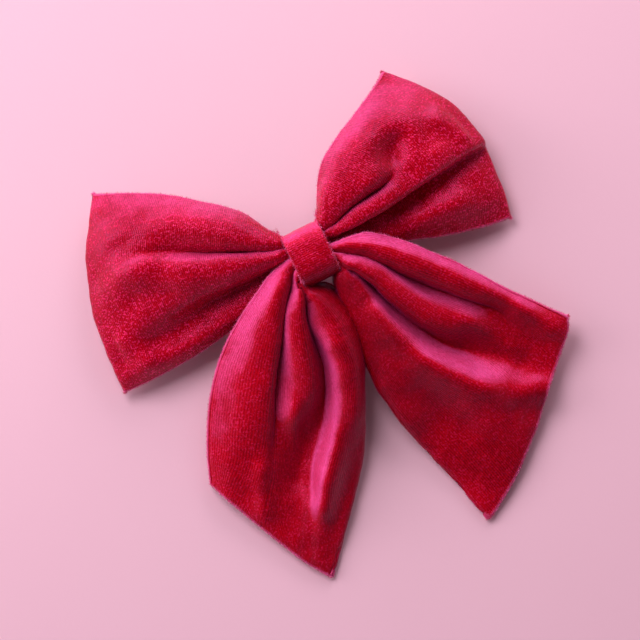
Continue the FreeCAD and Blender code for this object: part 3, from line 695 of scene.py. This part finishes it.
def pile_tree(material):
    """Short fibres that stand up from a cloth's rims."""
    number, whole = "NodeSocketFloat", "NodeSocketInt"
    grow = Growth("velvet_pile", {
        "Density": (number, 1.0e7), "Reach": (number, 0.0007), "Length": (number, 0.0007),
        "Width": (number, 0.00005), "Lean": (number, 0.6), "Seed": (whole, 5),
    })
    given = grow.given
    edge = grow.add("GeometryNodeInputNamedAttribute", {"data_type": "FLOAT"}, {"Name": "edge"})
    near = grow.add("FunctionNodeCompare", {"data_type": "FLOAT", "operation": "LESS_THAN"},
                    {0: edge, 1: given.other("Reach")})
    spots = grow.add("GeometryNodeDistributePointsOnFaces", None, {
        "Mesh": given, "Selection": near, "Density": given.other("Density"), "Seed": given.other("Seed")})
    fibre = grow.add("GeometryNodeMeshCone", {"fill_type": "NONE"}, {
        "Vertices": 3, "Side Segments": 1, "Radius Top": 0.0, "Radius Bottom": given.other("Width"),
        "Depth": given.other("Length")})
    lean = given.other("Lean")
    least = grow.add("ShaderNodeCombineXYZ", None, {0: lean * -1.0, 1: lean * -1.0, 2: -3.0})
    most = grow.add("ShaderNodeCombineXYZ", None, {0: lean, 1: lean, 2: 3.0})
    tilt = grow.add("FunctionNodeRandomValue", {"data_type": "FLOAT_VECTOR"},
                    {"Min": least, "Max": most, "Seed": given.other("Seed") + 1.0})
    turned = grow.add("FunctionNodeRotateRotation", {"rotation_space": "LOCAL"},
                      {0: spots.other("Rotation"), 1: tilt})
    size = grow.add("FunctionNodeRandomValue", {"data_type": "FLOAT"}, {2: 0.45, 3: 1.25, "Seed": 3}, 1)
    fibres = grow.add("GeometryNodeInstanceOnPoints", None,
                      {"Points": spots, "Instance": fibre, "Rotation": turned, "Scale": size})
    return grow.finish(fibres, material)


def grown(name, source, tree, sizes):
    """The plain mesh that a geometry tree makes of a piece, with its inputs set by name."""
    holder = add_piece(name + "_holder", source)
    growth = holder.modifiers.new("growth", "NODES")
    growth.node_group = tree
    for item in tree.interface.items_tree:
        if item.item_type == "SOCKET" and item.name in sizes:
            growth[item.identifier] = sizes[item.name]
    evaluated = holder.evaluated_get(bpy.context.evaluated_depsgraph_get())
    mesh = bpy.data.meshes.new_from_object(evaluated)
    bpy.data.objects.remove(holder)
    mesh.name = name
    return add_piece(name, mesh)


# ---- what a user would change ----
def colour_setting(name, description, default):
    return FloatVectorProperty(name=name, description=description, default=default, subtype="COLOR", size=3,
                               min=0.0, max=1.0)


def length_setting(name, description, default):
    return FloatProperty(name=name, description=description, default=default, unit="LENGTH", min=0.0)


def share_setting(name, description, default):
    return FloatProperty(name=name, description=description, default=default, subtype="FACTOR",
                         min=0.0, max=1.0)


def light_setting(name, description, default, **unit):
    return FloatProperty(name=name, description=description, default=default, min=0.0, **unit)


class VelvetLook(bpy.types.PropertyGroup):
    colour: colour_setting("Pile", "Colour of the pile where it stands up", (0.50, 0.0002, 0.004))
    # The deep colour also takes painted shade, by how a slope faces the lights' side.
    deep: colour_setting("Deep pile", "Colour of the darker patches and of the pits", (0.19, 0.0001, 0.0012))
    bright: colour_setting("Bright pile", "Colour of the tips of the pile", (0.60, 0.0006, 0.012))
    # Glints are painted highlights in the colour.
    glint: colour_setting("Glints", "Colour of the fibres that catch the light", (1.0, 0.025, 0.17))
    # A painted highlight on slopes that face the lights' side.
    slope_highlight: colour_setting("Raised pile", "Lighter colour of slopes that face the nap", (0.76, 0.075, 0.31))
    # The rims' colour is a painted sheen; the loose fibres use it too.
    rim: colour_setting("Rims", "Colour along the sheets' rims", (1.0, 0.16, 0.50))
    sheen_colour: colour_setting("Sheen", "Colour of the sheen at a low angle", (1.0, 0.06, 0.42))
    gloss_colour: colour_setting("Gloss", "Colour of the soft highlights", (1.0, 0.15, 0.60))
    sheen: share_setting("Sheen strength", "How much the pile shines at a low angle", 0.25)
    sheen_spread: share_setting("Sheen spread", "How wide the sheen is", 0.30)
    gloss: share_setting("Gloss strength", "How strong the soft highlights are", 0.25)
    rib_pitch: length_setting("Rib pitch", "Distance between two knit ribs", 0.00072)


class BowShape(bpy.types.PropertyGroup):
    loop_thickness: length_setting("Loop cloth", "Thickness of the loops' doubled cloth", 0.0016)
    tail_thickness: length_setting("Tail cloth", "Thickness of the tails' doubled cloth", 0.0020)
    dents: length_setting("Dents", "Height of the soft unevenness", 0.00042)
    pleats: length_setting("Pleats", "Height of the fine pleats beside the knot", 0.0007)
    band_thickness: length_setting("Band cloth", "Thickness of the band round the knot", 0.0015)
    pile_length: length_setting("Pile length", "Length of the fibres along the rims", 0.0007)
    seam_depth: length_setting("Seam depth", "Depth of the seam's groove inside the tails' rims", 0.0004)
    frays: IntProperty(name="Frays", description="Loose fibres in each frayed place", default=110, min=0)


class ClipLook(bpy.types.PropertyGroup):
    plate: colour_setting("Plate", "Nickel of the stamped parts", (0.60, 0.60, 0.62))
    spring: colour_setting("Spring", "Nickel of the sprung bar", (0.50, 0.51, 0.54))
    pin: colour_setting("Pins", "Bright steel of the pins", (0.66, 0.66, 0.68))


class StageLook(bpy.types.PropertyGroup):
    floor_colour: colour_setting("Board", "Colour of the board", (0.83, 0.47, 0.60))
    world_colour: colour_setting("Room", "Colour of the light from all round", (1.0, 0.93, 0.95))
    world_light: light_setting("Wall light", "Strength of the light from low all round", 2.3)
    world_fade: light_setting("Wall light fade", "How fast the wall light fades upwards", 1.6)
    ceiling_light: light_setting("Ceiling light", "Strength of the light from every direction", 0.05)
    key_light: light_setting("Key light", "Power of the large soft light", 5.2, unit="POWER")
    sweep_light: light_setting("Sweep lights", "Power of the low lights at the left and the right", 3.4,
                               unit="POWER")
    lens_distance: length_setting("Camera height", "Distance of the camera above the bow", 1.2)
    view_width: length_setting("Width seen", "Width of board that the camera sees", 0.2304)


class BarretteSettings(bpy.types.PropertyGroup):
    velvet: PointerProperty(type=VelvetLook)
    shape: PointerProperty(type=BowShape)
    clip: PointerProperty(type=ClipLook)
    stage: PointerProperty(type=StageLook)


def paint_node(name, material):
    """Gives a kept part of the clip its finish. Its mesh isn't touched."""
    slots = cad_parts[name].material_slots
    if not slots:
        raise RuntimeError(f"{name} has no material slot")
    for place in slots:
        place.material = material


def sheet_piece(shell, name, node, material):
    piece = shell.build(name)
    piece.data.materials.append(velvet(material, bpy.context.scene.barrette.velvet, **VELVETS[material]))
    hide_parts(node)
    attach(piece, BOW_BODY)
    return piece


# ---- operators ----
class BARRETTE_OT_loops(bpy.types.Operator):
    """Folds the two loops of the bow"""

    bl_idname = "barrette.loops"
    bl_label = "Fold the loops"

    def execute(self, context):
        shape = context.scene.barrette.shape
        thickness = shape.loop_thickness / MM
        stations = np.concatenate([
            np.linspace(0, 0.9, 88, endpoint=False),
            np.linspace(0.9, 1.1, 26, endpoint=False),
            np.linspace(1.1, 2, 42),
        ])
        shell, width, length = Shell(), 0, 0
        front = int(np.searchsorted(stations, SWELL_END))
        for seed, table, swells in ((3, LEFT_LOOP, LEFT_LOOP_SWELLS), (8, RIGHT_LOOP, RIGHT_LOOP_SWELLS)):
            folded = [fold_back(strand, thickness + LOOP_AIR, thickness / 2 + LOOP_AIR) for strand in table]
            lines = np.array([walk(strand, stations, fold) for strand, fold in folded])
            grid = relax(swell(spread_rows(lines, ROWS_PER_SPAN), swells, front), RELAX_ROUNDS)
            grid = ruffle(grid, seed, shape.dents / MM, shape.pleats / MM, both_ends=True)
            wide, long = shell.add(grid, thickness, LOOP_LIGHT_SIDE, hemmed_end=False)
            width, length = max(width, wide), length + long
        sheet_piece(shell, "velvet_loops", "bow_loops", "velvet_across")
        return {"FINISHED"}


class BARRETTE_OT_tails(bpy.types.Operator):
    """Lays the two hanging tails of the bow"""

    bl_idname = "barrette.tails"
    bl_label = "Lay the tails"

    def execute(self, context):
        shape = context.scene.barrette.shape
        thickness = shape.tail_thickness / MM
        towards_the_tip = [0.95, 0.965, 0.98, 0.99, 0.996, 1]
        stations = np.concatenate([np.linspace(0, 0.95, 108, endpoint=False), towards_the_tip])
        shell, width, length = Shell(), 0, 0
        for seed, table, swells, light_side in ((5, LEFT_TAIL, LEFT_TAIL_SWELLS, LEFT_TAIL_LIGHT_SIDE),
                                         (11, RIGHT_TAIL, RIGHT_TAIL_SWELLS, RIGHT_TAIL_LIGHT_SIDE)):
            strands = [into_knot(strand, *TAIL_GATHER) for strand in table]
            lines = np.array([walk(strand, stations, len(strand) - 1) for strand in strands])
            grid = relax(swell(spread_rows(lines, ROWS_PER_SPAN), swells, len(stations)), RELAX_ROUNDS)
            grid = ruffle(grid, seed, shape.dents / MM, shape.pleats / MM, both_ends=False)
            wide, long = shell.add(grid, thickness, light_side, hemmed_end=True, seam=shape.seam_depth / MM)
            width, length = max(width, wide), length + long
        sheet_piece(shell, "velvet_tails", "bow_tails", "velvet_along")
        return {"FINISHED"}


class BARRETTE_OT_knot(bpy.types.Operator):
    """Wraps the band round the knot and stitches its ends together underneath"""

    bl_idname = "barrette.knot"
    bl_label = "Wrap the knot"

    def execute(self, context):
        shape = context.scene.barrette.shape
        thickness = shape.band_thickness / MM
        low, high = np.array(KNOT_LOW) / MM, np.array(KNOT_HIGH) / MM
        half_width, half_depth = (high[0] - low[0]) / 2, (high[1] - low[1]) / 2 - thickness / 2
        middle, half_height = (high[2] + low[2]) / 2, (high[2] - low[2]) / 2 - thickness / 2
        around = np.linspace(-math.pi / 2, 1.5 * math.pi, 121)
        squareness, corner_tuck = 2 / 2.7, 0.035
        y = half_depth * np.sign(np.cos(around)) * np.abs(np.cos(around)) ** squareness
        z = half_height * np.sign(np.sin(around)) * np.abs(np.sin(around)) ** squareness
        share = np.sin(np.linspace(-math.pi / 2, math.pi / 2, 37))
        tuck = 1 - corner_tuck * np.abs(share) ** 4
        x = share * half_width
        grid = np.stack([
            np.broadcast_to(x[:, None], (len(x), len(y))),
            tuck[:, None] * y[None, :],
            middle + tuck[:, None] * z[None, :],
        ], axis=-1)
        grid = ruffle(grid, 17, BAND_DENTS, BAND_PLEATS, both_ends=True)
        shell = Shell()
        flat = shell.add(grid, thickness, BAND_LIGHT_SIDE, hemmed_end=True)
        sheet_piece(shell, "velvet_knot", "knot_band", "velvet_band")
        return {"FINISHED"}


class BARRETTE_OT_threads(bpy.types.Operator):
    """Gives the gathering threads and the knot's stitches their thread"""

    bl_idname = "barrette.threads"
    bl_label = "Thread and stitches"

    def execute(self, context):
        thread = sewing_thread(context.scene.barrette.velvet)
        for node in ("loop_thread", "tail_thread", "knot_stitches"):
            paint_node(node, thread)
        return {"FINISHED"}


class BARRETTE_OT_clip(bpy.types.Operator):
    """Plates the steel of the clip"""

    bl_idname = "barrette.clip"
    bl_label = "Plate the clip"

    def execute(self, context):
        look = context.scene.barrette.clip
        stamped = steel("stamped_nickel", look.plate, roughness=0.20, drawn_out=(0.12, 1.0, 1.0))
        sprung = steel("spring_nickel", look.spring, roughness=0.24, drawn_out=(0.08, 1.0, 1.0))
        bright = steel("bright_steel", look.pin, roughness=0.16, drawn_out=(1.0, 0.15, 1.0))
        for node in ("base_plate", "clasp_arm", "latch_bridge", "latch_wing_front", "latch_wing_back"):
            paint_node(node, stamped)
        paint_node("tension_bar", sprung)
        for node in ("hinge_pin", "latch_rivet"):
            paint_node(node, bright)
        return {"FINISHED"}


class BARRETTE_OT_pile(bpy.types.Operator):
    """Raises short fibres along the rims of the velvet"""

    bl_idname = "barrette.pile"
    bl_label = "Raise the pile"

    def execute(self, context):
        shape = context.scene.barrette.shape
        tree = pile_tree(velvet_fibre(context.scene.barrette.velvet))
        for cloth, slot in (("velvet_loops", "velvet"), ("velvet_tails", "velvet"),
                            ("velvet_knot", "knot_velvet")):
            source = bpy.data.objects[cloth].data
            pile = grown(cloth + "_pile", source.copy(), tree, {"Length": shape.pile_length})
            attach(pile, BOW_BODY)
        return {"FINISHED"}


class BARRETTE_OT_frays(bpy.types.Operator):
    """Lets loose fibres out of the cut edges beside the knot and at the corners"""

    bl_idname = "barrette.frays"
    bl_label = "Fray the cut edges"

    def execute(self, context):
        frays = context.scene.barrette.shape.frays
        fibre = bpy.data.materials["velvet_fibre"]
        tree = pile_tree(fibre)
        pieces = []
        for spot, toward, size, length in FRAYED_PLACES:
            toward = Vector(toward).normalized()
            side = toward.orthogonal().normalized() * size / 2
            other = toward.cross(side)
            corners = [Vector(spot) + a * side + b * other for a, b in SQUARE]
            patch = bpy.data.meshes.new("patch")
            patch.from_pydata([c * MM for c in corners], [], [(0, 1, 2, 3)])
            sizes = {"Length": length * MM, "Density": frays / (size * MM) ** 2, "Lean": 0.55}
            pieces.append(grown("frays", patch, tree, sizes))
        with context.temp_override(active_object=pieces[0], selected_editable_objects=pieces):
            bpy.ops.object.join()
        frayed = pieces[0]
        frayed.name = frayed.data.name = "frayed_ends"
        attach(frayed, BOW_BODY)
        return {"FINISHED"}


class BARRETTE_OT_stage(bpy.types.Operator):
    """Sets the board, the lights and the camera"""

    bl_idname = "barrette.stage"
    bl_label = "Set the stage"

    def execute(self, context):
        look = context.scene.barrette.stage
        corners = [(BOARD_HALF * a, BOARD_HALF * b) for a, b in SQUARE]
        board = bpy.data.meshes.new("board")
        level = cad_box[0][2] - BOARD_GAP
        board.from_pydata([(x, y, level) for x, y in corners], [], [(0, 1, 2, 3)])
        add_piece("board", board, painted_board(look))

        world = bpy.data.worlds.new("room")
        world.use_nodes = True
        room = Nodes(world.node_tree)
        walls = world.node_tree.nodes["Background"]
        direction = room.add("ShaderNodeTexCoord", None, None, "Generated")
        up = room.add("ShaderNodeSeparateXYZ", None, {0: direction}, "Z").between(0.0, 1.0)
        facing = {0: direction, 1: KEY_DIRECTION * Vector((1, 1, 0))}
        towards_key = room.add("ShaderNodeVectorMath", {"operation": "DOT_PRODUCT"}, facing, "Value")
        bright_side = towards_key.between(-0.3, 0.5) * (1 - DIM_SIDE) + DIM_SIDE
        room.feed(walls.inputs["Color"], paint(look.world_colour))
        wall_light = (1 - up) ** look.world_fade * bright_side * look.world_light
        room.feed(walls.inputs["Strength"], wall_light + look.ceiling_light)
        context.scene.world = world

        side_power = look.sweep_light
        for name, direction, distance, size, power, mirrored in (
                ("key", KEY_DIRECTION, 0.9, 0.55, look.key_light, False),
                ("sweep_top", Vector((-0.1, 1.0, 0.80)), 1.0, 0.4, side_power * SWEEP_TOP_SHARE, True),
                ("sweep_left", Vector((-0.74, 0.66, 0.44)), 1.0, 0.5, side_power, True),
                ("sweep_right", Vector((0.62, 0.78, 0.44)), 1.0, 0.5, side_power, True)):
            glow = bpy.data.lights.new(name, "AREA")
            glow.shape, glow.size, glow.energy = "DISK", size, power
            lamp = bpy.data.objects.new(name, glow)
            direction = direction.normalized()
            lamp.location = BOW_MIDDLE + direction * distance
            lamp.rotation_euler = direction.to_track_quat("Z", "Y").to_euler()
            lamp.visible_glossy = mirrored
            context.scene.collection.objects.link(lamp)

        lens = bpy.data.cameras.new("camera")
        lens.sensor_width = 36
        lens.lens = lens.sensor_width * look.lens_distance / look.view_width
        camera = bpy.data.objects.new("camera", lens)
        camera.location = BOW_MIDDLE + Vector((0, 0, look.lens_distance))
        camera.rotation_euler = (0, 0, math.radians(CAMERA_TURN))
        context.scene.collection.objects.link(camera)
        context.scene.camera = camera
        context.scene.view_settings.view_transform = "Standard"
        return {"FINISHED"}


class BARRETTE_PT_panel(bpy.types.Panel):
    """The barrette's steps and settings, in the 3D view's sidebar"""

    bl_idname = "BARRETTE_PT_panel"
    bl_label = "Velvet Bow Barrette"
    bl_space_type = "VIEW_3D"
    bl_region_type = "UI"
    bl_category = "Barrette"

    def draw(self, context):
        for operator in STEPS:
            self.layout.operator(operator.bl_idname)
        settings = context.scene.barrette
        for title, group in (("Velvet", settings.velvet), ("Bow", settings.shape), ("Clip", settings.clip),
                             ("Stage", settings.stage)):
            box = self.layout.box()
            box.label(text=title)
            for name in group.__annotations__:
                box.prop(group, name)


STEPS = (BARRETTE_OT_loops, BARRETTE_OT_tails, BARRETTE_OT_knot, BARRETTE_OT_threads, BARRETTE_OT_clip,
         BARRETTE_OT_pile, BARRETTE_OT_frays, BARRETTE_OT_stage)
CLASSES = (VelvetLook, BowShape, ClipLook, StageLook, BarretteSettings) + STEPS + (BARRETTE_PT_panel,)


def register():
    for made in CLASSES:
        bpy.utils.register_class(made)
    bpy.types.Scene.barrette = PointerProperty(type=BarretteSettings)


def unregister():
    del bpy.types.Scene.barrette
    for made in reversed(CLASSES):
        bpy.utils.unregister_class(made)


def main():
    register()
    for step in STEPS:
        group, name = step.bl_idname.split(".")
        getattr(getattr(bpy.ops, group), name)()


if __name__ == "__main__":
    main()
